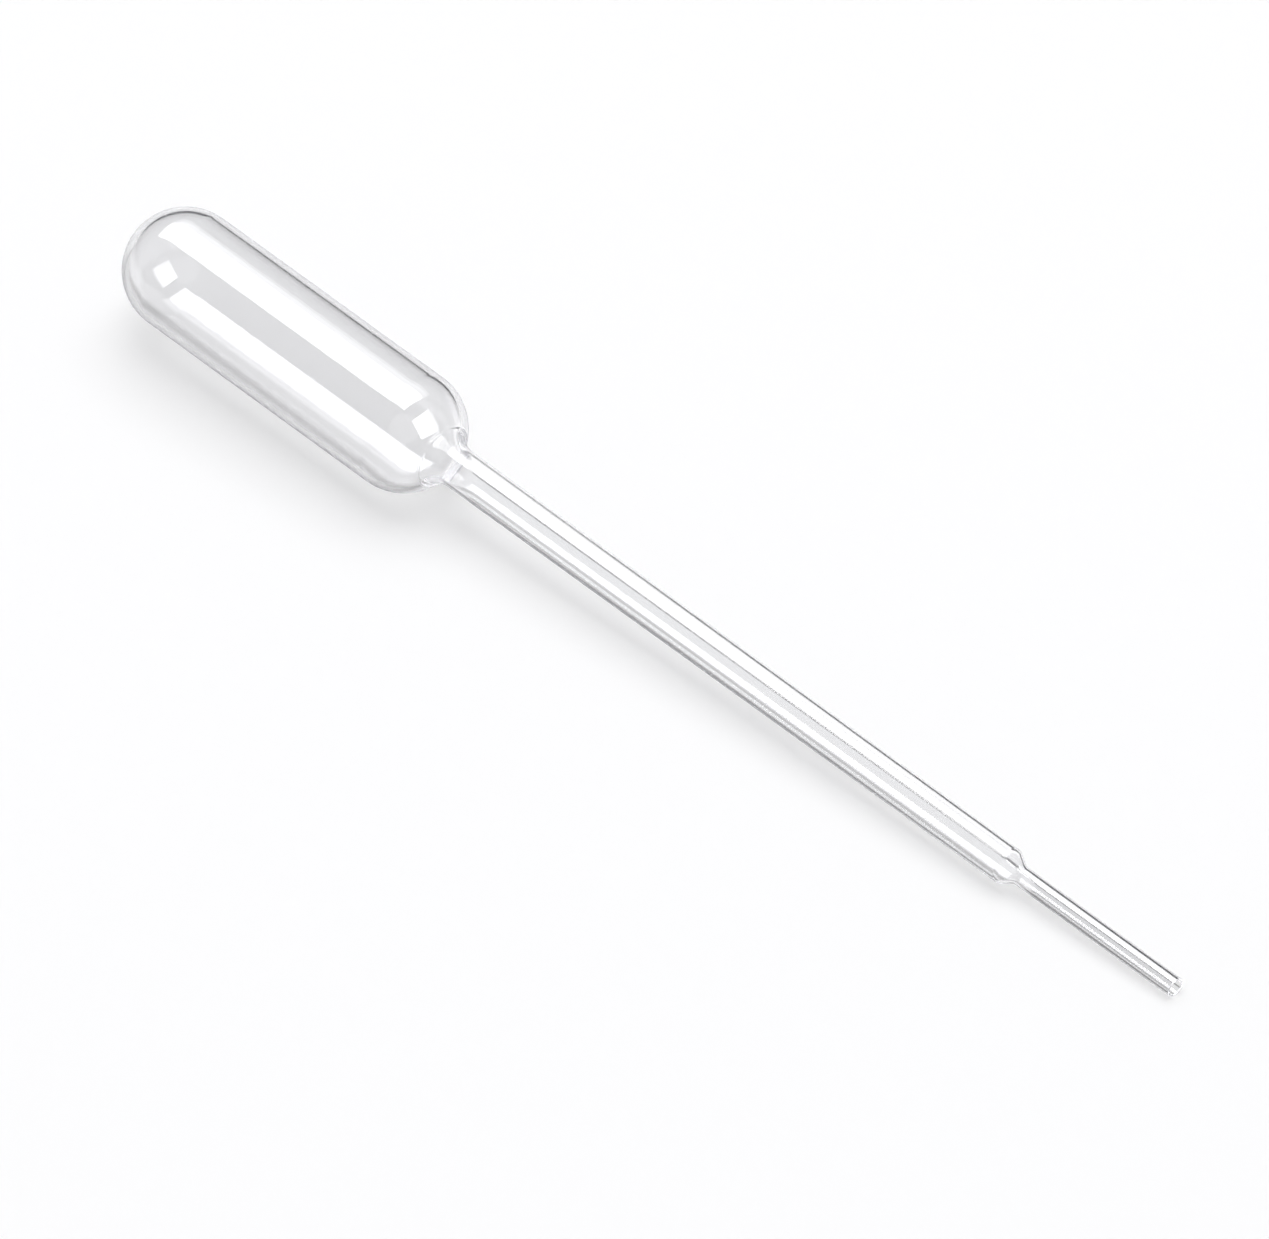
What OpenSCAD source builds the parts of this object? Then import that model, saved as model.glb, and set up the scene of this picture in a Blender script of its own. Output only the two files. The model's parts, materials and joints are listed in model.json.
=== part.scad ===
// Disposable dropper pipette, blown in one piece from clear polyethylene.
// A squeeze bulb runs through a flared neck into a slim stem, which steps down
// at a shoulder to a fine open tip. It lies as it rests on a table: on the end of
// its bulb and on the rim of its tip. Sizes are in millimetres, +Z is up, and the
// tip points along +X. The origin is on the table, under the middle of the part.

/* [Overall] */
// Length from the end of the bulb to the end of the tip
overall_l = 150; // [120:1:190]

/* [Bulb] */
// Outside diameter of the bulb
bulb_d = 13.2; // [11:0.1:16]
// Length of the bulb's straight stretch, between its two domes
bulb_straight_l = 32.2; // [20:0.1:45]
// Wall of the bulb
bulb_wall = 0.65; // [0.3:0.05:0.8]

/* [Neck] */
// Radius of the flare that blends the bulb into the stem
neck_flare_r = 3; // [1.5:0.1:4]
// Radius of the fine bead where the bulb meets the flare
neck_bead_r = 0.2; // [0.1:0.05:0.4]
// How far the bead stands out
neck_bead_h = 0.06; // [0.02:0.01:0.1]

/* [Stem] */
// Outside diameter where the stem leaves the neck
stem_d = 4.36; // [3.6:0.02:5.4]
// Outside diameter where the stem meets the shoulder
stem_end_d = 4.04; // [3.3:0.02:5]
// Wall of the stem
stem_wall = 0.26; // [0.2:0.02:0.4]

/* [Shoulder] */
// Angle of the shoulder's cone to the axis, in degrees
shoulder_angle = 31; // [24:1:40]
// Radius where the stem rounds over into the shoulder
shoulder_round_r = 1.2; // [0.6:0.1:1.5]
// Radius where the shoulder sweeps out into the tip
shoulder_sweep_r = 1.3; // [0.6:0.1:1.6]

/* [Tip] */
// Length of the fine tip, from the middle of the shoulder to the open end
tip_l = 23; // [12:0.1:40]
// Outside diameter of the fine tip
tip_d = 2.14; // [1.78:0.02:2.6]
// Wall of the fine tip
tip_wall = 0.26; // [0.16:0.02:0.4]

/* [Hidden] */

// Facets of a full circle; rotate_extrude takes the same number.
round_fn = 96;
// How far a cutting shape runs past the face that it opens.
past = 1;
// How far an arc bites into a line that it touches, so that the two always meet.
bite = 0.0005;
// How many radii a cutter reaches from the centre of a rounded corner.
cutter_reach = 2;
// Turns an upright axis to point along +X.
upright_to_level = 90;
// Turns the seam, where the outline's turn starts and ends, to the part's side,
// a quarter turn away from where it lies on the table.
seam_turn = 84;
// Clear, faintly cool plastic.
clear_colour = [0.86, 0.9, 0.93, 0.45];

// Outlines are drawn as [radius, distance along the axis] and turned about the
// axis. Distances start at the centre of the bulb's near dome.
bulb_r = bulb_d / 2;
stem_r = stem_d / 2;
stem_end_r = stem_end_d / 2;
tip_r = tip_d / 2;
bore_r = tip_r - tip_wall;
far_dome_y = -bulb_straight_l;
stem_start_y = bulb_r;
tip_end_y = overall_l - bulb_straight_l - bulb_r;
shoulder_y = tip_end_y - tip_l;

// The stem's outline is a straight line that leans in towards the tip.
stem_slope = (stem_r - stem_end_r) / (shoulder_y - stem_start_y);
stem_lean = atan(stem_slope);
shoulder_slope = tan(shoulder_angle);

// Lying down, the near dome and the tip's rim touch the table.
rest_tilt = asin(bulb_r / norm([tip_end_y, tip_r])) - atan2(tip_r, tip_end_y);
// How far the part then reaches, along X, from the centre of the near dome.
far_end_x = far_dome_y * cos(rest_tilt) - bulb_r;
tip_end_x = tip_end_y * cos(rest_tilt) + tip_r * sin(rest_tilt);
middle_x = (far_end_x + tip_end_x) / 2;

// Radius at distance y of a stem outline that starts with radius r.
function stem_line(r, y) = r - (y - stem_start_y) * stem_slope;

// Where the shoulder's cone, which passes through radius r at shoulder_y, meets
// the stem outline that starts with radius stem.
function cone_on_stem(r, stem) =
    let (y = (r + shoulder_y * shoulder_slope - stem - stem_start_y * stem_slope)
             / (shoulder_slope - stem_slope))
    [stem_line(stem, y), y];

// Centre of an arc of radius f that touches the near dome, of radius dome, from
// outside, and the stem outline that starts with radius stem.
function flare_centre(dome, stem, f) =
    let (r = stem_line(stem, 0) + f / cos(stem_lean),
         k = 1 + stem_slope ^ 2,
         lean_in = r * stem_slope,
         y = (lean_in + sqrt(lean_in ^ 2 - k * (r ^ 2 - (dome + f) ^ 2))) / k)
    [r - y * stem_slope, y];

// The unit vector towards the tip along a line that leans in by an angle, and
// the one that points out from it.
function ahead(lean) = [-sin(lean), cos(lean)];
function outward(lean) = [cos(lean), sin(lean)];

// How far before and after a corner its arc of radius f touches the two lines.
function arc_run(lean_a, lean_b, f) = f * tan(abs(lean_b - lean_a) / 2);

// What an arc of radius f about c leaves between two touching points and core.
module hollow_arc(c, from, to, f, core) {
    difference() {
        polygon([from, c, to, core]);
        translate(c) circle(r = f + bite, $fn = round_fn);
    }
}

// Fills the hollow corner at p, between lines of leans lean_a and lean_b.
module filled_corner(p, lean_a, lean_b, f) {
    from = p - ahead(lean_a) * arc_run(lean_a, lean_b, f);
    to = p + ahead(lean_b) * arc_run(lean_a, lean_b, f);
    hollow_arc(from + outward(lean_a) * f, from, to, f, [0, p.y]);
}

// Cuts the full corner at p, between lines of leans lean_a and lean_b.
module corner_cutter(p, lean_a, lean_b, f) {
    from = p - ahead(lean_a) * arc_run(lean_a, lean_b, f);
    c = from - outward(lean_a) * f;
    reach_f = f * cutter_reach;
    difference() {
        polygon([c, c + outward(lean_a) * reach_f, c + outward(lean_b) * reach_f]);
        translate(c) circle(r = f + bite, $fn = round_fn);
    }
}

// Half outline of a pipette filled to its axis, with its tip stopped at end_y.
// The outside also has a bead, of radius bead_f.
module half_outline(dome, stem, tip, flare_f, round_f, sweep_f, end_y, bead_f = 0) {
    flare_c = flare_centre(dome, stem, flare_f);
    mid_r = (stem_line(stem, shoulder_y) + tip) / 2;
    full_corner = cone_on_stem(mid_r, stem);
    hollow_corner = [tip, shoulder_y + (mid_r - tip) / shoulder_slope];
    intersection() {
        union() {
            // Bulb.
            translate([0, far_dome_y]) circle(r = dome, $fn = round_fn);
            circle(r = dome, $fn = round_fn);
            translate([0, far_dome_y]) square([dome, bulb_straight_l]);
            // Flare of the neck.
            hollow_arc(flare_c, flare_c * dome / (dome + flare_f),
                flare_c - outward(stem_lean) * flare_f, flare_f, [0, 0]);
            if (bead_f > 0)
                translate(flare_c * (dome + neck_bead_h - bead_f) / (dome + flare_f))
                    circle(r = bead_f, $fn = round_fn);
            // Stem, shoulder and tip.
            difference() {
                polygon([[0, 0], [stem_line(stem, 0), 0], full_corner,
                    hollow_corner, [tip, end_y], [0, end_y]]);
                corner_cutter(full_corner, stem_lean, shoulder_angle, round_f);
            }
            filled_corner(hollow_corner, shoulder_angle, 0, sweep_f);
        }
        // Only what lies on one side of the axis is turned.
        translate([0, -overall_l]) square([bulb_d, overall_l + end_y]);
    }
}

// The one piece: bulb, neck, stem, shoulder and tip, around the hollow that runs
// from the sealed end of the bulb to the open end of the tip.
module pipette_body() {
    color(clear_colour)
    translate([-middle_x, 0, bulb_r])
    rotate([0, upright_to_level + rest_tilt, 0])
    rotate([0, 0, seam_turn])
    rotate_extrude($fn = round_fn)
    difference() {
        half_outline(bulb_r, stem_r, tip_r, neck_flare_r, shoulder_round_r,
            shoulder_sweep_r, tip_end_y, neck_bead_r);
        half_outline(bulb_r - bulb_wall, stem_r - stem_wall, bore_r,
            neck_flare_r + stem_wall, shoulder_round_r - stem_wall,
            shoulder_sweep_r + tip_wall, tip_end_y + past);
    }
}

pipette_body();
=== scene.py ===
"""A clear dropper pipette, blown in one piece, lying on a pale table."""

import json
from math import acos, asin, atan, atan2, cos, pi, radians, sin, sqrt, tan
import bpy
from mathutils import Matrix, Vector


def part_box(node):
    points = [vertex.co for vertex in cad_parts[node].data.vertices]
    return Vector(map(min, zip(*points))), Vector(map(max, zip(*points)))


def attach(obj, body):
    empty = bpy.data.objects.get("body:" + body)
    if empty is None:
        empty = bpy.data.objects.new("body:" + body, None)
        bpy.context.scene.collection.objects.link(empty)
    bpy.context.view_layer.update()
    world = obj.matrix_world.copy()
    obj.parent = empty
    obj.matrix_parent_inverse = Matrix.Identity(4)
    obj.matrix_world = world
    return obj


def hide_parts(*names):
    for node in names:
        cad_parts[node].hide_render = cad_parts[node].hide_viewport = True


bl_info = {
    "name": "Dropper Pipette",
    "version": (1, 0, 0),
    "blender": (4, 5, 0),
    "location": "3D View > Sidebar > Pipette",
    "description": "Makes a clear blown dropper pipette and the soft studio light it is seen in",
    "category": "Add Mesh",
}

from types import SimpleNamespace

import bpy
from mathutils import Matrix, Vector

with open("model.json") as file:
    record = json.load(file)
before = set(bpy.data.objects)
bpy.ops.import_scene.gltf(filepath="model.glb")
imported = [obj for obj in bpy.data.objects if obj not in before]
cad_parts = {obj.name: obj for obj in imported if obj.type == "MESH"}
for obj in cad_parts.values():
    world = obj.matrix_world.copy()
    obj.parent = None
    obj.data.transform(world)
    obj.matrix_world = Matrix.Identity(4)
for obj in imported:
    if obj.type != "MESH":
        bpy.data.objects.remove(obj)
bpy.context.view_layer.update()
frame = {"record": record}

MM = 0.001
NODE = "pipette_body"
MOUNTS = {mount["name"]: mount for mount in frame["record"]["mounts"]}
BULB = MOUNTS["bulb_outside"]
TIP = MOUNTS["tip_outside"]
BORE = MOUNTS["tip_bore"]

# The pipette's own axis, from its sealed end to its open tip, and the centre of
# the dome that the stem leaves.
AXIS = Vector(TIP["axis"]).normalized()
BULB_STRAIGHT = BULB["dims"]["length_mm"] * MM
NEAR_DOME = Vector(BULB["pos_m"]) - Vector(BULB["axis"]).normalized() * (BULB_STRAIGHT / 2)
# Where the shoulder ends and the fine tip starts.
SHOULDER = Vector(TIP["pos_m"]) - AXIS * (TIP["dims"]["length_mm"] * MM / 2)

# Where a mix node keeps its two colours and its mixed one.
COLOUR_A, COLOUR_B, MIXED_COLOUR = 6, 7, 2


def linear(hex_colour):
    """Turn an sRGB hex colour into linear red, green and blue."""
    channels = [int(hex_colour[k:k + 2], 16) / 255 for k in (0, 2, 4)]
    return [c / 12.92 if c <= 0.04045 else ((c + 0.055) / 1.055) ** 2.4 for c in channels]


def add_node(tree, kind, settings=None, links=None):
    """Add a node to a tree, set its options and inputs, and link its inputs."""
    node = tree.nodes.new(kind)
    for name, value in (settings or {}).items():
        if isinstance(name, str) and hasattr(node, name):
            setattr(node, name, value)
        else:
            node.inputs[name].default_value = value
    for name, socket in (links or {}).items():
        tree.links.new(socket, node.inputs[name])
    return node


def add_fed_node(tree, kind, options, inputs):
    """Add a node whose inputs are each a plain value or another node's output."""
    linked = {name: value for name, value in inputs.items()
              if isinstance(value, bpy.types.NodeSocket)}
    plain = {name: value for name, value in inputs.items() if name not in linked}
    return add_node(tree, kind, {**options, **plain}, linked)


def maths(tree, operation, *terms):
    """The outcome of an operation on one or more terms."""
    node = add_fed_node(tree, "ShaderNodeMath", {"operation": operation},
                        dict(enumerate(terms)))
    return node.outputs[0]


def blend(tree, share, first, second, span=(0.0, 1.0), kind="LINEAR"):
    """A value between two others, by how far the share is along a span."""
    node = add_fed_node(tree, "ShaderNodeMapRange", {"interpolation_type": kind},
                        {"Value": share, "From Min": span[0], "From Max": span[1],
                         "To Min": first, "To Max": second})
    return node.outputs["Result"]


def ease(tree, value, span, first=0.0, second=1.0):
    """A value between two others, eased at both ends of the span."""
    return blend(tree, value, first, second, span, "SMOOTHSTEP")


def mix_colours(tree, share, first, second):
    """A colour between two others, each of them plain or another node's output."""
    colours = {COLOUR_A: first, COLOUR_B: second}
    whole = {at: colour if isinstance(colour, bpy.types.NodeSocket) else (*colour, 1)
             for at, colour in colours.items()}
    node = add_fed_node(tree, "ShaderNodeMix", {"data_type": "RGBA"}, {0: share, **whole})
    return node.outputs[MIXED_COLOUR]


def mix_shaders(tree, share, first, second):
    """A share of the way from one shader to another."""
    node = add_node(tree, "ShaderNodeMixShader", None, {0: share, 1: first, 2: second})
    return node.outputs["Shader"]


# ---------------------------------------------------------------- sizes and finish


class PipetteSizes(bpy.types.PropertyGroup):
    """Sizes of the pipette that a user would change."""

    overall: bpy.props.FloatProperty(
        name="Overall length", description="From the sealed end of the bulb to the open tip",
        default=0.150, min=0.12, max=0.19, unit="LENGTH", subtype="DISTANCE", precision=5)
    bulb: bpy.props.FloatProperty(
        name="Bulb", description="Outside diameter of the squeeze bulb",
        default=2 * BULB["dims"]["r_mm"] * MM, min=0.011, max=0.016,
        unit="LENGTH", subtype="DISTANCE", precision=5)
    bulb_straight: bpy.props.FloatProperty(
        name="Bulb straight", description="Length of the bulb between its two domes",
        default=BULB_STRAIGHT, min=0.02, max=0.045,
        unit="LENGTH", subtype="DISTANCE", precision=5)
    bulb_wall: bpy.props.FloatProperty(
        name="Bulb wall", description="Thickness of the bulb's wall",
        default=0.00065, min=0.0003, max=0.0008, unit="LENGTH", subtype="DISTANCE", precision=5)
    neck_flare: bpy.props.FloatProperty(
        name="Neck flare", description="Radius of the flare that blends the bulb into the stem",
        default=0.003, min=0.0015, max=0.004, unit="LENGTH", subtype="DISTANCE", precision=5)
    neck_bead: bpy.props.FloatProperty(
        name="Neck bead", description="Radius of the fine bead between the bulb and the flare",
        default=0.0002, min=0.0001, max=0.0004, unit="LENGTH", subtype="DISTANCE", precision=5)
    neck_bead_height: bpy.props.FloatProperty(
        name="Neck bead height", description="How far the bead stands out",
        default=0.00006, min=0.00002, max=0.0001, unit="LENGTH", subtype="DISTANCE", precision=6)
    stem: bpy.props.FloatProperty(
        name="Stem at the neck", description="Outside diameter where the stem leaves the neck",
        default=0.00436, min=0.0036, max=0.0054,
        unit="LENGTH", subtype="DISTANCE", precision=5)
    stem_end: bpy.props.FloatProperty(
        name="Stem at the shoulder", description="Outside diameter where the stem ends",
        default=0.00404, min=0.0033, max=0.005, unit="LENGTH", subtype="DISTANCE", precision=5)
    stem_wall: bpy.props.FloatProperty(
        name="Stem wall", description="Thickness of the stem's wall",
        default=0.00026, min=0.0002, max=0.0004, unit="LENGTH", subtype="DISTANCE", precision=5)
    shoulder: bpy.props.FloatProperty(
        name="Shoulder", description="Angle of the shoulder's cone to the axis",
        default=radians(31), min=radians(24), max=radians(40), unit="ROTATION", subtype="ANGLE")
    shoulder_round: bpy.props.FloatProperty(
        name="Shoulder round", description="Radius where the stem rounds over",
        default=0.0012, min=0.0006, max=0.0015, unit="LENGTH", subtype="DISTANCE", precision=5)
    shoulder_sweep: bpy.props.FloatProperty(
        name="Shoulder sweep", description="Radius where the shoulder sweeps into the tip",
        default=0.0013, min=0.0006, max=0.0016, unit="LENGTH", subtype="DISTANCE", precision=5)
    tip_length: bpy.props.FloatProperty(
        name="Tip length", description="From the middle of the shoulder to the open end",
        default=0.023, min=0.012, max=0.04, unit="LENGTH", subtype="DISTANCE", precision=5)
    tip: bpy.props.FloatProperty(
        name="Tip", description="Outside diameter of the fine tip",
        default=2 * TIP["dims"]["r_mm"] * MM, min=0.0017, max=0.0026,
        unit="LENGTH", subtype="DISTANCE", precision=5)
    bore: bpy.props.FloatProperty(
        name="Bore", description="Diameter of the fine tip's bore",
        default=2 * BORE["dims"]["r_mm"] * MM, min=0.0009, max=0.0019,
        unit="LENGTH", subtype="DISTANCE", precision=5)
    rim_round: bpy.props.FloatProperty(
        name="Rim round", description="Radius of the cut end's edges",
        default=0.00004, min=0.00001, max=0.0001, unit="LENGTH", subtype="DISTANCE", precision=6)


class PlasticFinish(bpy.types.PropertyGroup):
    """Finish of the blown plastic."""

    tint: bpy.props.FloatVectorProperty(
        name="Tint", description="Colour that the plastic gives to what is seen through it",
        default=linear("FAFAFB"), min=0, max=1, subtype="COLOR")
    lamp_share: bpy.props.FloatProperty(
        name="Lamp share", description="Share of the lamplight that each face lets through",
        default=0.945, min=0, max=1, subtype="FACTOR")
    haze: bpy.props.FloatProperty(
        name="Haze", description="Share of the light caught inside a wall that spreads out",
        default=0.85, min=0, max=1, subtype="FACTOR")
    ior: bpy.props.FloatProperty(
        name="IOR", description="Refractive index of polyethylene", default=1.51, min=1.3, max=1.7)
    streak: bpy.props.FloatProperty(
        name="Die streak spacing", description="Spacing of the faint streaks along the part",
        default=0.0011, min=0.0003, max=0.005, unit="LENGTH", subtype="DISTANCE", precision=5)
    streak_height: bpy.props.FloatProperty(
        name="Die streak height", description="Height of the faint streaks",
        default=0.00000012, min=0, max=0.00001, unit="LENGTH", subtype="DISTANCE", precision=7)
    ripple: bpy.props.FloatProperty(
        name="Ripple spacing", description="Spacing of the soft unevenness left by blowing",
        default=0.007, min=0.002, max=0.03, unit="LENGTH", subtype="DISTANCE", precision=4)
    ripple_height: bpy.props.FloatProperty(
        name="Ripple height", description="Height of the soft unevenness left by blowing",
        default=0.0000005, min=0, max=0.0001, unit="LENGTH", subtype="DISTANCE", precision=6)


class StudioSettings(bpy.types.PropertyGroup):
    """Table, surroundings and lights."""

    table: bpy.props.FloatVectorProperty(
        name="Table", description="Colour of the table", default=linear("BEBEC2"),
        min=0, max=1, subtype="COLOR")
    background: bpy.props.FloatVectorProperty(
        name="Background", description="Colour of the table and surroundings as a background",
        default=linear("F9F9F9"), min=0, max=1, subtype="COLOR")
    # Painted light: seen in the plastic, the table is painted dim beyond a painted bright pool
    # round the part.
    beyond: bpy.props.FloatVectorProperty(
        name="Beyond the pool", description="Colour of the table beyond the bright pool",
        default=linear("404044"), min=0, max=1, subtype="COLOR")
    bulb_pool: bpy.props.FloatProperty(
        name="Pool at the bulb", description="Where the pool fades, in heights of the axis",
        default=6.2, min=1, max=50)
    stem_pool: bpy.props.FloatProperty(
        name="Pool at the stem", description="Where the pool fades, in heights of the axis",
        default=3.6, min=1, max=50)
    # Painted shade: the table is painted darker close under the part, as seen in the plastic.
    bulb_shade: bpy.props.FloatProperty(
        name="Shade at the bulb", description="How much darker the table is under the bulb",
        default=0.5, min=0, max=1, subtype="FACTOR")
    bulb_far_shade: bpy.props.FloatProperty(
        name="Far shade at the bulb", description="The same, further out from under it",
        default=0.13, min=0, max=1, subtype="FACTOR")
    stem_shade: bpy.props.FloatProperty(
        name="Shade at the stem", description="How much darker the table is under the stem",
        default=0.65, min=0, max=1, subtype="FACTOR")
    # Painted shade: two thin darker lines painted on the table along the stem and tip.
    near_shade_line: bpy.props.FloatProperty(
        name="Near line", description="How much darker the thin line on the stem's near side is",
        default=0.4, min=0, max=1, subtype="FACTOR")
    far_shade_line: bpy.props.FloatProperty(
        name="Far line", description="How much darker the thin line on the stem's far side is",
        default=0.65, min=0, max=1, subtype="FACTOR")
    # Painted light: a brighter stretch painted behind the stem, and the table's own glow, by
    # emission, where it is seen through the plastic.
    stem_glow: bpy.props.FloatProperty(
        name="Glow at the stem", description="How much brighter the table is behind the stem",
        default=0.55, min=0, max=2)
    bulb_glow_through: bpy.props.FloatProperty(
        name="Table through the bulb", description="Brightness of the table seen in the bulb",
        default=0.985, min=0, max=2)
    stem_glow_through: bpy.props.FloatProperty(
        name="Table through the stem", description="Brightness of the table seen in the stem",
        default=1.12, min=0, max=2)
    tip_glow_through: bpy.props.FloatProperty(
        name="Table through the tip", description="Brightness of the table seen in the tip",
        default=0.88, min=0, max=2)
    # Painted glow: the share of the table, seen through the plastic, that shines by emission
    # instead of being lit.
    even: bpy.props.FloatProperty(
        name="Evenness", description="How even the table looks through the plastic",
        default=0.8, min=0, max=1, subtype="FACTOR")
    surround: bpy.props.FloatVectorProperty(
        name="Surroundings", description="Colour of the room above the table",
        default=linear("5A5A5E"), min=0, max=1, subtype="COLOR")
    key: bpy.props.FloatProperty(
        name="Key panel", description="Brightness of the panel that lights the table",
        default=4.3, min=0, max=20)
    overhead: bpy.props.FloatProperty(
        name="Overhead panel", description="Brightness of the bright panel overhead",
        default=6.0, min=0, max=20)
    strip: bpy.props.FloatProperty(
        name="Strip panel", description="Brightness of the dimmer strip behind it",
        default=1.9, min=0, max=20)
    front: bpy.props.FloatProperty(
        name="Front disc", description="Brightness of the dim round lamp in front",
        default=0.55, min=0, max=20)
    side: bpy.props.FloatProperty(
        name="Side softbox", description="Brightness of the softbox on the tip's side",
        default=5.0, min=0, max=20)
    azimuth: bpy.props.FloatProperty(
        name="Camera azimuth", description="Turn of the camera about the part",
        default=radians(45.282), unit="ROTATION", subtype="ANGLE")
    elevation: bpy.props.FloatProperty(
        name="Camera elevation", description="Height angle of the camera above the table",
        default=radians(41.724), unit="ROTATION", subtype="ANGLE")
    distance: bpy.props.FloatProperty(
        name="Camera distance", description="From the camera to what it aims at",
        default=3.3917, unit="LENGTH", subtype="DISTANCE")
    lens: bpy.props.FloatProperty(
        name="Lens", description="Focal length in millimetres", default=944.9, min=50, max=5000)


# ------------------------------------------------------------------------- outline

# Points round a full circle about the axis.
AROUND = 176
# Steps along each kind of stretch of the outline.
DOME_STEPS, ARC_STEPS, ROUND_STEPS, BEAD_STEPS, RIM_STEPS = 36, 22, 12, 8, 5
BULB_STEPS, STEM_STEPS, CONE_STEPS, TIP_STEPS = 10, 26, 2, 8


def arc(centre, radius, start, end, steps):
    """Points and outward normals along an arc; a hollow one turns to the left."""
    side = 1 if end < start else -1
    samples = []
    for k in range(steps + 1):
        turn = start + (end - start) * k / steps
        way = Vector((cos(turn), sin(turn)))
        samples.append((Vector(centre) + way * radius, way * side))
    return samples


def between(start, end, steps):
    """The points strictly inside a straight stretch, with the normal of its first end."""
    (a, normal), (b, _) = start, end
    return [(a.lerp(b, k / steps), normal.copy()) for k in range(1, steps)]


def corner(a, b, opposite):
    """The angle of a triangle between the sides a and b."""
    return acos((a * a + b * b - opposite * opposite) / (2 * a * b))


def half_outline(size, inner, end):
    """One side of the profile, as (distance along the axis, radius) and its normals.

    Distances start at the centre of the near dome. The inner side of the walls is
    the same shape with thinner sizes, and stops at the same end.
    """
    dome = size.bulb / 2 - (size.bulb_wall if inner else 0)
    wall = size.stem_wall if inner else 0
    stem = size.stem / 2 - wall
    tip = size.bore / 2 if inner else size.tip / 2
    flare = size.neck_flare + wall
    rounding = size.shoulder_round - wall
    sweep = size.shoulder_sweep + ((size.tip - size.bore) / 2 if inner else 0)

    stem_start = size.bulb / 2
    shoulder_at = size.overall - size.bulb_straight - size.bulb / 2 - size.tip_length
    slope = (size.stem - size.stem_end) / 2 / (shoulder_at - stem_start)
    lean = atan(slope)
    cone = tan(size.shoulder)

    def stem_radius(at):
        return stem - (at - stem_start) * slope

    # The flare touches the dome and the stem.
    reach = stem_radius(0) + flare / cos(lean)
    k = 1 + slope ** 2
    flare_at = (reach * slope + sqrt((reach * slope) ** 2
                                     - k * (reach ** 2 - (dome + flare) ** 2))) / k
    flare_centre = Vector((flare_at, reach - flare_at * slope))
    flare_turn = atan2(flare_centre.y, flare_centre.x)

    # The two corners of the shoulder, and the arcs that round them.
    mid = (stem_radius(shoulder_at) + tip) / 2
    full_at = (mid + shoulder_at * cone - stem - stem_start * slope) / (cone - slope)
    run = rounding * tan((size.shoulder - lean) / 2)
    round_centre = Vector((full_at - run * cos(lean) - rounding * sin(lean),
                           stem_radius(full_at) + run * sin(lean) - rounding * cos(lean)))
    hollow_at = shoulder_at + (mid - tip) / cone
    sweep_centre = Vector((hollow_at + sweep * tan(size.shoulder / 2), tip + sweep))

    far = arc((-size.bulb_straight, 0), dome, pi, pi / 2, DOME_STEPS)
    near_end = flare_turn
    neck_start = flare_turn + pi
    if not inner:
        # The bead covers the seam between the two.
        bead_from_dome = dome + size.neck_bead_height - size.neck_bead
        bead_from_flare = dome + flare - bead_from_dome
        near_end += corner(dome, bead_from_dome, size.neck_bead)
        neck_start += corner(flare, bead_from_flare, size.neck_bead)
    near = arc((0, 0), dome, pi / 2, near_end, DOME_STEPS)
    neck = arc(flare_centre, flare, neck_start, 1.5 * pi - lean, ARC_STEPS)
    if not inner:
        bead_centre = Vector((cos(flare_turn), sin(flare_turn))) * bead_from_dome
        bead_start, bead_end = near[-1][0] - bead_centre, neck[0][0] - bead_centre
        near += arc(bead_centre, size.neck_bead, atan2(bead_start.y, bead_start.x),
                    atan2(bead_end.y, bead_end.x), BEAD_STEPS)[1:]
    top = arc(round_centre, rounding, pi / 2 - lean, pi / 2 - size.shoulder, ROUND_STEPS)
    foot = arc(sweep_centre, sweep, 1.5 * pi - size.shoulder, 1.5 * pi, ROUND_STEPS)
    last = (Vector((end, tip)), Vector((0, 1)))
    return (far + between(far[-1], near[0], BULB_STEPS) + near + neck[1:]
            + between(neck[-1], top[0], STEM_STEPS) + top
            + between(top[-1], foot[0], CONE_STEPS) + foot
            + between(foot[-1], last, TIP_STEPS) + [last])


def whole_outline(size):
    """The closed profile: down the outside, round the cut rim and back inside."""
    tip_end = size.overall - size.bulb_straight - size.bulb / 2
    edge = size.rim_round
    stop = tip_end - edge
    outside = half_outline(size, False, stop)
    inside = half_outline(size, True, stop)
    rim = (arc((stop, size.tip / 2 - edge), edge, pi / 2, 0, RIM_STEPS)
           + arc((stop, size.bore / 2 + edge), edge, 0, -pi / 2, RIM_STEPS))
    return outside[:-1] + rim + [(point, -normal) for point, normal in reversed(inside[:-1])]


def turned_mesh(name, outline):
    """Turn a profile that starts and ends on the axis into a closed mesh."""
    side = Vector((0, 1, 0))
    up = AXIS.cross(side) * -1
    start, finish = outline[0], outline[-1]
    rings = outline[1:-1]

    def place(point, normal, turn):
        out = side * cos(turn) + up * sin(turn)
        return NEAR_DOME + AXIS * point.x + out * point.y, AXIS * normal.x + out * normal.y

    spots = [place(*start, 0)]
    for ring in rings:
        spots += [place(*ring, 2 * pi * k / AROUND) for k in range(AROUND)]
    spots.append(place(*finish, 0))

    faces = []
    last = len(spots) - 1
    for k in range(AROUND):
        after = (k + 1) % AROUND
        faces.append((0, 1 + k, 1 + after))
        for ring in range(len(rings) - 1):
            low = 1 + ring * AROUND
            high = low + AROUND
            faces.append((low + k, high + k, high + after, low + after))
        low = 1 + (len(rings) - 1) * AROUND
        faces.append((low + k, last, low + after))

    mesh = bpy.data.meshes.new(name)
    mesh.from_pydata([spot for spot, _ in spots], [], faces)
    mesh.update()
    mesh.polygons.foreach_set("use_smooth", [True] * len(mesh.polygons))
    mesh.normals_split_custom_set_from_vertices([normal for _, normal in spots])
    return mesh


# ----------------------------------------------------------------------- materials


# Streaks run this many times as far along the part as across it.
STREAK_STRETCH = 40
# Gloss varies a little where the mould's polish does, over about this distance.
GLOSS_SPACING = 3 * MM
# The roughness where the polish is least.
ROUGHEST = 0.015
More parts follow.
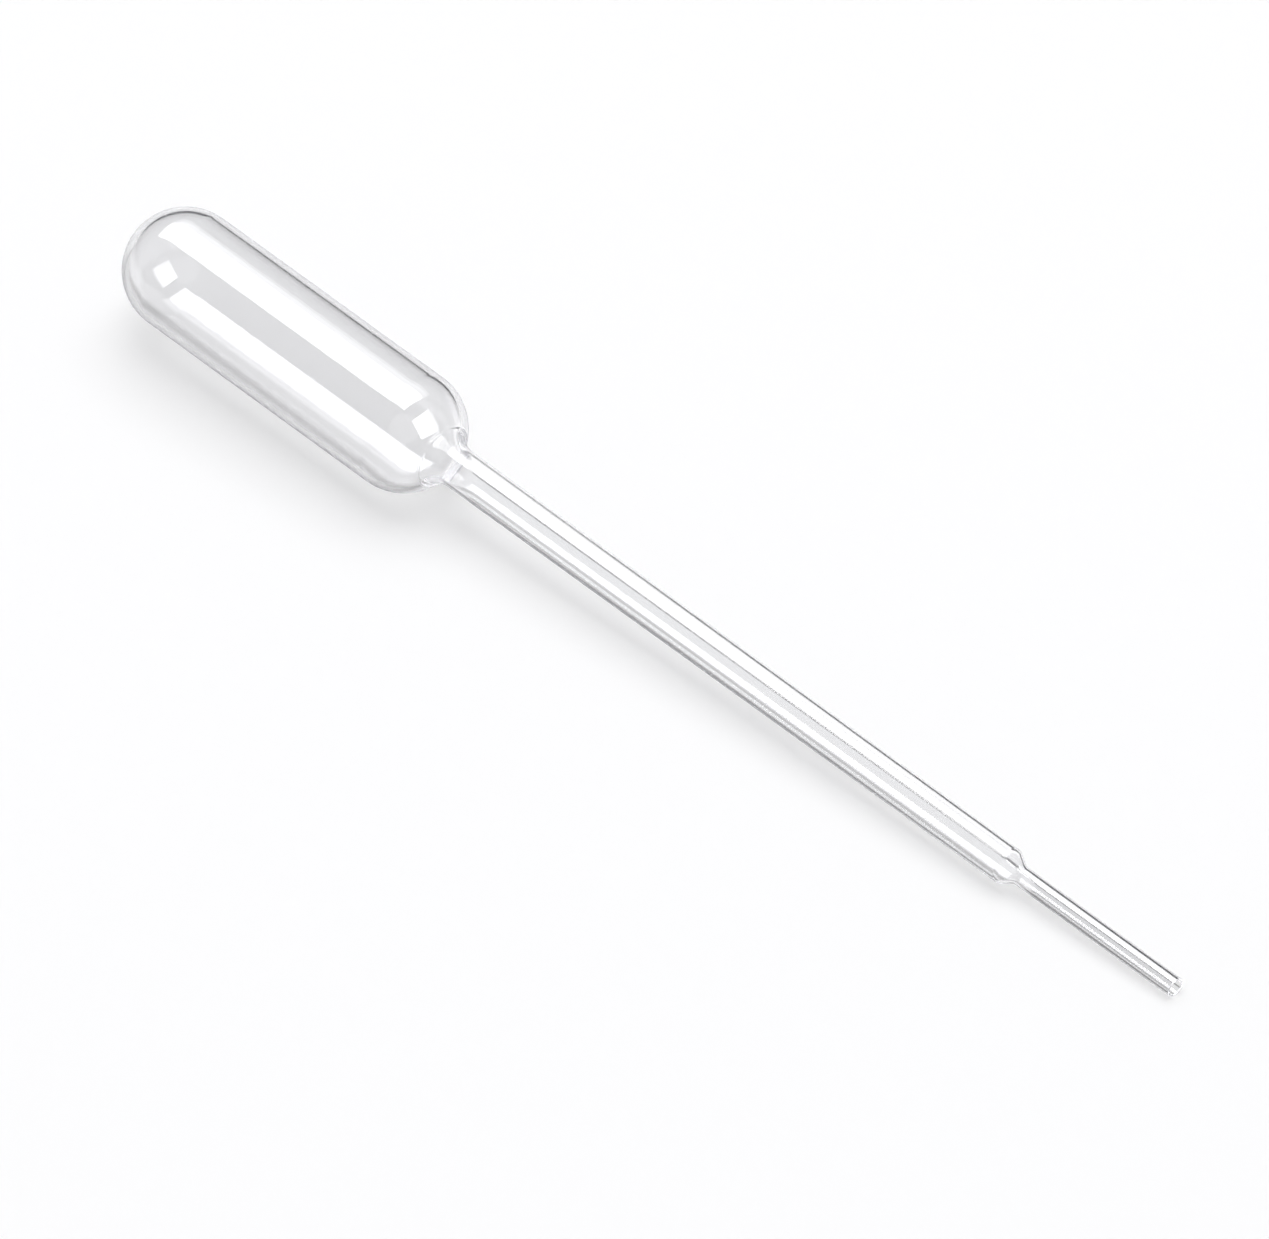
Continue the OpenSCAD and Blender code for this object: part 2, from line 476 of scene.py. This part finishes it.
# A face mirrors more as it turns away, by about this power.
MIRROR_POWER = 5.0


def new_material(name):
    """A material with an empty node tree, and the tree."""
    material = bpy.data.materials.new(name)
    material.use_nodes = True
    material.node_tree.nodes.clear()
    return material, material.node_tree


def unevenness(tree, finish, along):
    """The normals of a blown surface, with its ripples and streaks."""
    streak_space = add_node(
        tree, "ShaderNodeMapping",
        {"Scale": (1 / (STREAK_STRETCH * finish.streak), 1 / finish.streak, 1 / finish.streak)},
        {"Vector": along})
    streaks = add_node(tree, "ShaderNodeTexNoise", {"Scale": 1.0, "Detail": 2.0},
                       {"Vector": streak_space.outputs["Vector"]})
    ripples = add_node(tree, "ShaderNodeTexNoise", {"Scale": 1 / finish.ripple, "Detail": 1.0},
                       {"Vector": along})
    soft = add_node(tree, "ShaderNodeBump", {"Strength": 1.0, "Distance": finish.ripple_height},
                    {"Height": ripples.outputs["Fac"]})
    fine = add_node(tree, "ShaderNodeBump", {"Strength": 1.0, "Distance": finish.streak_height},
                    {"Height": streaks.outputs["Fac"], "Normal": soft.outputs["Normal"]})
    return fine.outputs["Normal"]


def clear_polyethylene(finish):
    """Clear polyethylene, blown in a polished mould.

    Light goes straight through its thin walls. The outline is darker where the wall is
    seen edge on, and broad clean reflections show on both faces of each wall. Blowing
    leaves a soft unevenness, and the die that fed the tube leaves faint streaks along it.
    """
    material, tree = new_material("clear_blown_polyethylene")
    place = add_node(tree, "ShaderNodeTexCoord")
    dip = asin(-AXIS.z)
    along = add_node(tree, "ShaderNodeMapping", {"Rotation": (0, -dip, 0)},
                     {"Vector": place.outputs["Object"]}).outputs["Vector"]
    gloss = add_node(tree, "ShaderNodeTexNoise", {"Scale": 1 / GLOSS_SPACING, "Detail": 3.0},
                     {"Vector": along})
    plastic = add_node(
        tree, "ShaderNodeBsdfPrincipled",
        {"Base Color": (*finish.tint, 1), "Transmission Weight": 1.0, "IOR": finish.ior},
        {"Roughness": blend(tree, gloss.outputs["Fac"], 0.0, ROUGHEST),
         "Normal": unevenness(tree, finish, along)}).outputs["BSDF"]

    # Lamplight reaches through the walls, dimmed most where it meets a face at a low angle.
    path = add_node(tree, "ShaderNodeLightPath")
    facing = add_node(tree, "ShaderNodeLayerWeight", {"Blend": 0.5})
    mirrored = maths(tree, "POWER", facing.outputs["Facing"], MIRROR_POWER)
    passed = blend(tree, mirrored, finish.lamp_share, 0.0)
    clear = add_node(tree, "ShaderNodeBsdfTransparent", None, {"Color": passed}).outputs["BSDF"]

    # Light mirrored again and again inside a wall would run on round the part, so the
    # haze spreads it from the second time on.
    glow = add_node(tree, "ShaderNodeBsdfTranslucent", {"Color": (*finish.tint, 1)})
    shine = add_node(tree, "ShaderNodeBsdfDiffuse", {"Color": (*finish.tint, 1)})
    milky = add_node(tree, "ShaderNodeAddShader", None,
                     {0: shine.outputs["BSDF"], 1: glow.outputs["BSDF"]}).outputs["Shader"]
    again = blend(tree, path.outputs["Glossy Depth"], 0.0, finish.haze, (1.0, 2.0))
    face = add_node(tree, "ShaderNodeNewGeometry")
    caught = mix_shaders(tree, face.outputs["Backfacing"], plastic,
                         mix_shaders(tree, again, plastic, milky))
    carried = mix_shaders(tree, path.outputs["Is Reflection Ray"], plastic, caught)
    lit = mix_shaders(tree, path.outputs["Is Shadow Ray"], carried, clear)
    seen = mix_shaders(tree, path.outputs["Is Diffuse Ray"], lit, clear)
    add_node(tree, "ShaderNodeOutputMaterial", None, {"Surface": seen})
    return material


# How the table's painted pool, shade, lines and glow lie as seen in the plastic. The part
# mirrors it at a slant, from this much further towards its sealed end for each metre aside.
SLANT = 0.6
# Distances past the near dome's centre between which the bulb's looks give way to the
# stem's, and the same for how far the painted bright pool reaches.
BULB_TO_STEM = (0.002, 0.009)
POOL_TO_STEM = (0.008, 0.045)
# The distance past the shoulder over which the stem's looks give way to the tip's.
STEM_TO_TIP = 0.002
# How many times as far away the painted pool ends as it starts to fade.
POOL_FADE = 1.6
# The middle line of the part as seen on the table, in heights of the axis behind it.
MIDDLE = 0.72
# The painted shade starts this far below the middle line, in radii: along the stem, along the
# bulb.
SHADE_START = (1.43, 1.0)
# From there, in radii: where it grows, where it fades, and where the bulb's turns far.
SHADE_GROWS, SHADE_FADES, SHADE_TURNS = (0.0, 0.25), (2.5, 1.5), (0.3, 0.5)
# Each thin line of painted shade: what it is measured from, in heights, how far below that it
# lies and how far it reaches to each side, in radii. It is darkest within a fifth of its reach.
NEAR_SHADE_LINE = (MIDDLE, 0.9, 0.25)
FAR_SHADE_LINE = (0.795, -0.38, 0.16)
LINE_CORE = 5
# The painted brighter stretch lies above the middle line: where it grows and ends, in radii below.
GLOW_GROWS, GLOW_ENDS = (-1.3, -1.7), (-4.2, -3.2)


def table_spots(tree, size, half_length, floor):
    """What the looks of the table depend on, for every spot of it.

    x runs along the part and y across it, and height is the axis's above the table.
    bulb is 1 along the bulb and 0 past it, tip is 1 along the tip and 0 before it, and
    radius is that of the part there.
    """
    place = add_node(tree, "ShaderNodeTexCoord")
    parts = add_node(tree, "ShaderNodeSeparateXYZ", None, {0: place.outputs["Object"]})
    y = parts.outputs["Y"]
    x = maths(tree, "MULTIPLY_ADD", maths(tree, "ABSOLUTE", y), SLANT, parts.outputs["X"])
    # The axis comes down towards the tip.
    fall = AXIS.z / AXIS.x
    middle_height = NEAR_DOME.z - floor - NEAR_DOME.x * fall
    height = blend(tree, x, middle_height - half_length * fall,
                   middle_height + half_length * fall, (-half_length, half_length))
    bulb = ease(tree, x, (NEAR_DOME.x + BULB_TO_STEM[1], NEAR_DOME.x + BULB_TO_STEM[0]))
    tip = ease(tree, x, (SHOULDER.x, SHOULDER.x + STEM_TO_TIP))
    slim = blend(tree, tip, size.stem / 2, size.tip / 2)
    radius = blend(tree, bulb, slim, size.bulb / 2)
    return SimpleNamespace(x=x, y=y, height=height, bulb=bulb, tip=tip, radius=radius)


def pool_dimness(tree, settings, half_length, spot):
    """0 in the painted bright pool round the part and 1 beyond it, where the table is painted dim.
    """
    past_end = maths(tree, "SUBTRACT", maths(tree, "ABSOLUTE", spot.x), half_length)
    past_end = maths(tree, "MAXIMUM", past_end, 0.0)
    way = add_node(tree, "ShaderNodeCombineXYZ", None, {"X": past_end, "Y": spot.y})
    away = add_node(tree, "ShaderNodeVectorMath", {"operation": "LENGTH"},
                    {0: way.outputs["Vector"]})
    heights_away = maths(tree, "DIVIDE", away.outputs["Value"], spot.height)
    start = ease(tree, spot.x, (NEAR_DOME.x + POOL_TO_STEM[1], NEAR_DOME.x + POOL_TO_STEM[0]),
                 settings.stem_pool, settings.bulb_pool)
    return ease(tree, heights_away, (start, maths(tree, "MULTIPLY", start, POOL_FADE)))


def radii_below(tree, spot, heights):
    """How many radii a spot lies below a line that is some heights behind the part."""
    line = maths(tree, "MULTIPLY", spot.height, heights)
    return maths(tree, "DIVIDE", maths(tree, "SUBTRACT", line, spot.y), spot.radius)


def shade_under(tree, settings, spot, below):
    """How much painted shade darkens the table close under the part."""
    depth = maths(tree, "SUBTRACT", below, blend(tree, spot.bulb, *SHADE_START))
    shape = maths(tree, "MULTIPLY", ease(tree, depth, SHADE_GROWS),
                  ease(tree, depth, SHADE_FADES))
    at_bulb = ease(tree, depth, SHADE_TURNS, settings.bulb_shade, settings.bulb_far_shade)
    return maths(tree, "MULTIPLY", shape, blend(tree, spot.bulb, settings.stem_shade, at_bulb))


def painted_shade_line(tree, spot, line, darkness):
    """How much a thin line of painted shade darkens the table along the stem and tip."""
    heights, at, reach = line
    off_line = maths(tree, "SUBTRACT", radii_below(tree, spot, heights), at)
    return ease(tree, maths(tree, "ABSOLUTE", off_line), (reach, reach / LINE_CORE),
                0.0, blend(tree, spot.bulb, darkness, 0.0))


def painted_glow_through(tree, settings, spot, below):
    """How brightly the table is painted to glow, seen through the bulb, the stem and the tip."""
    slim = blend(tree, spot.tip, settings.stem_glow_through, settings.tip_glow_through)
    # Painted light: a brighter stretch behind the stem and tip stands in for the light they gather
    # there.
    glow = maths(tree, "MULTIPLY", ease(tree, below, GLOW_GROWS, 0.0, settings.stem_glow),
                 ease(tree, below, GLOW_ENDS))
    slim = maths(tree, "MULTIPLY_ADD", slim, glow, slim)
    return blend(tree, spot.bulb, slim, settings.bulb_glow_through)


def laminate_with_painted_light(size, settings, half_length, floor):
    """Matt white laminate, pressed smooth, with light and shade painted into its colour.

    It is the plain background where it is seen directly, and keeps the lamp's soft shadows.
    Seen in the plastic, it shows a painted bright pool round the part and is painted dim
    beyond it, which draws the dark lines along the upper outline, and painted shade close
    under the part draws the lower ones. Two thin lines of painted shade and a painted
    brighter stretch draw the bands inside the stem and tip. Seen through the plastic, the
    table shines by its own emission, a painted glow.
    """
    material, tree = new_material("matt_white_laminate_with_painted_light")
    spot = table_spots(tree, size, half_length, floor)
    below = radii_below(tree, spot, MIDDLE)
    shade = shade_under(tree, settings, spot, below)
    for line, darkness in ((NEAR_SHADE_LINE, settings.near_shade_line), (FAR_SHADE_LINE, settings.far_shade_line)):
        shade = maths(tree, "MAXIMUM", shade, painted_shade_line(tree, spot, line, darkness))

    path = add_node(tree, "ShaderNodeLightPath")
    # Painted light and shade: for rays from the plastic, the table's colour carries the painted
    # shade and lines and the painted pool, dim beyond it.
    through = path.outputs["Is Transmission Ray"]
    near = mix_colours(tree, through, settings.table, settings.background)
    near = mix_colours(tree, shade, near, (0, 0, 0))
    mirrored = mix_colours(tree, pool_dimness(tree, settings, half_length, spot), near,
                           settings.beyond)
    colour = mix_colours(tree, path.outputs["Is Camera Ray"], mirrored, settings.background)
    matt = add_node(tree, "ShaderNodeBsdfDiffuse", None, {"Color": colour})
    # Painted glow: seen through the plastic, the table shines by its own emission, so the part's
    # own shadow hardly shows through it.
    plain = add_node(tree, "ShaderNodeEmission", None,
                     {"Color": mirrored,
                      "Strength": painted_glow_through(tree, settings, spot, below)})
    seen = mix_shaders(tree, maths(tree, "MULTIPLY", through, settings.even),
                       matt.outputs["BSDF"], plain.outputs["Emission"])
    add_node(tree, "ShaderNodeOutputMaterial", None, {"Surface": seen})
    return material


# --------------------------------------------------------------------------- pieces


class PIPETTE_OT_body(bpy.types.Operator):
    """Make the pipette: bulb, neck, stem, shoulder and tip, with real walls"""

    bl_idname = "pipette.body"
    bl_label = "Pipette"

    def execute(self, context):
        size = context.scene.pipette_sizes
        mesh = turned_mesh("pipette", whole_outline(size))
        pipette = bpy.data.objects.new("pipette", mesh)
        context.scene.collection.objects.link(pipette)
        mesh.materials.append(clear_polyethylene(context.scene.pipette_finish))
        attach(pipette, "root")
        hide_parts(NODE)
        return {"FINISHED"}


# How far the lamps stand, so that they light the whole table evenly.
LAMP_DISTANCE = 8.0
KEY_HEIGHT = 1.25 * LAMP_DISTANCE
# The panels' edges along X and along Y, as the sideways distance for each metre of height.
KEY_EDGES = ((-0.80, 0.26), (-0.25, 0.79))
OVERHEAD_EDGES = ((-1.25, 0.16), (-0.17, 0.62))
STRIP_EDGES = ((-1.25, 0.16), (0.62, 1.06))
# The way from the part to the softbox, and the angles that the softbox and the disc fill.
SIDE_WAY = (0.80, 0.13, 0.59)
SIDE_SPREAD, FRONT_SPREAD = radians(40), radians(56)
# The round table's radius and how many sides it is cut with.
TABLE_RADIUS, TABLE_SIDES = 5.0, 96
# The camera looks slightly past the part's middle, towards the near side.
AIM_SHIFT = Vector((0.0019, -0.00451, 0))


def add_lamp(name, place, turn, width, height, radiance, shape="RECTANGLE"):
    """A flat lamp of a given brightness."""
    lamp = bpy.data.lights.new(name, "AREA")
    lamp.shape = shape
    lamp.size, lamp.size_y = width, height
    lamp.energy = radiance * pi * width * height * (pi / 4 if shape == "DISK" else 1)
    holder = bpy.data.objects.new(name, lamp)
    holder.matrix_world = Matrix.Translation(place) @ turn
    bpy.context.scene.collection.objects.link(holder)
    return holder


def panel(name, middle, height, across, along, radiance):
    """A level lamp at a height over the part.

    across and along give its two edges along X and along Y, as the sideways distance
    for each metre of height.
    """
    place = middle + height * Vector((sum(across) / 2, sum(along) / 2, 1))
    return add_lamp(name, place, Matrix(), (across[1] - across[0]) * height,
                    (along[1] - along[0]) * height, radiance)


def softbox(name, middle, toward, along, spread, radiance, shape="RECTANGLE"):
    """A lamp that faces the part, with two of its sides square to a direction.

    Its spread is the angle it fills as seen from the part.
    """
    toward = Vector(toward).normalized()
    across = Vector(along)
    across = (across - toward * across.dot(toward)).normalized()
    side = 2 * LAMP_DISTANCE * tan(spread / 2)
    turn = Matrix((across, toward.cross(across), toward)).transposed().to_4x4()
    return add_lamp(name, middle + toward * LAMP_DISTANCE, turn, side, side, radiance, shape)


def surroundings(scene, settings):
    """A dim room above the table, with the plain background where the camera sees it."""
    world = bpy.data.worlds.new("studio")
    scene.world = world
    world.use_nodes = True
    tree = world.node_tree
    tree.nodes.clear()
    path = add_node(tree, "ShaderNodeLightPath")
    seen = mix_colours(tree, path.outputs["Is Camera Ray"], settings.surround,
                       settings.background)
    sky = add_node(tree, "ShaderNodeBackground", {"Strength": 1.0}, {"Color": seen})
    add_node(tree, "ShaderNodeOutputWorld", None, {"Surface": sky.outputs["Background"]})


class PIPETTE_OT_stage(bpy.types.Operator):
    """Make the table, the surroundings, the lamps and the camera"""

    bl_idname = "pipette.stage"
    bl_label = "Stage"

    def execute(self, context):
        scene = context.scene
        settings = scene.pipette_studio
        low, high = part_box(NODE)
        middle = (low + high) / 2

        mesh = bpy.data.meshes.new("table")
        turns = [2 * pi * k / TABLE_SIDES for k in range(TABLE_SIDES)]
        corners = [(TABLE_RADIUS * cos(turn), TABLE_RADIUS * sin(turn), low.z) for turn in turns]
        mesh.from_pydata(corners, [], [tuple(range(TABLE_SIDES))])
        mesh.materials.append(laminate_with_painted_light(
            scene.pipette_sizes, settings, (high.x - low.x) / 2, low.z))
        table = bpy.data.objects.new("table", mesh)
        scene.collection.objects.link(table)

        surroundings(scene, settings)
        back = Vector((sin(settings.azimuth) * cos(settings.elevation),
                       -cos(settings.azimuth) * cos(settings.elevation),
                       sin(settings.elevation)))
        # One panel lights the table. The others are only seen in the plastic: a bright
        # one overhead, a dimmer strip behind it, a softbox on the tip's side and a dim
        # disc in front.
        key = panel("key_panel", middle, KEY_HEIGHT, *KEY_EDGES, settings.key)
        key.visible_glossy = key.visible_transmission = False
        for lamp in (
                panel("overhead_panel", middle, LAMP_DISTANCE, *OVERHEAD_EDGES,
                      settings.overhead),
                panel("strip_panel", middle, LAMP_DISTANCE, *STRIP_EDGES, settings.strip),
                softbox("side_softbox", middle, SIDE_WAY, (0, 1, 0), SIDE_SPREAD,
                        settings.side),
                softbox("front_disc", middle, back, (0, 0, 1), FRONT_SPREAD, settings.front,
                        "DISK")):
            lamp.visible_diffuse = False

        aim = middle + AIM_SHIFT
        lens = bpy.data.cameras.new("camera")
        lens.lens = settings.lens
        camera = bpy.data.objects.new("camera", lens)
        camera.location = aim + back * settings.distance
        camera.rotation_euler = back.to_track_quat("Z", "Y").to_euler()
        scene.collection.objects.link(camera)
        scene.camera = camera
        scene.view_settings.view_transform = "Standard"
        return {"FINISHED"}


class PIPETTE_PT_panel(bpy.types.Panel):
    """Lists the sizes, the finish and the stage"""

    bl_idname = "PIPETTE_PT_panel"
    bl_label = "Dropper Pipette"
    bl_space_type = "VIEW_3D"
    bl_region_type = "UI"
    bl_category = "Pipette"

    def draw(self, context):
        layout = self.layout
        groups = (context.scene.pipette_sizes, context.scene.pipette_finish,
                  context.scene.pipette_studio)
        for group in groups:
            box = layout.box()
            for name in group.__annotations__:
                box.prop(group, name)
        layout.operator(PIPETTE_OT_body.bl_idname)
        layout.operator(PIPETTE_OT_stage.bl_idname)


CLASSES = (PipetteSizes, PlasticFinish, StudioSettings, PIPETTE_OT_body, PIPETTE_OT_stage,
           PIPETTE_PT_panel)


def register():
    for cls in CLASSES:
        bpy.utils.register_class(cls)
    bpy.types.Scene.pipette_sizes = bpy.props.PointerProperty(type=PipetteSizes)
    bpy.types.Scene.pipette_finish = bpy.props.PointerProperty(type=PlasticFinish)
    bpy.types.Scene.pipette_studio = bpy.props.PointerProperty(type=StudioSettings)


def unregister():
    del bpy.types.Scene.pipette_studio
    del bpy.types.Scene.pipette_finish
    del bpy.types.Scene.pipette_sizes
    for cls in reversed(CLASSES):
        bpy.utils.unregister_class(cls)


def main():
    register()
    bpy.ops.pipette.body()
    bpy.ops.pipette.stage()


if __name__ == "__main__":
    main()
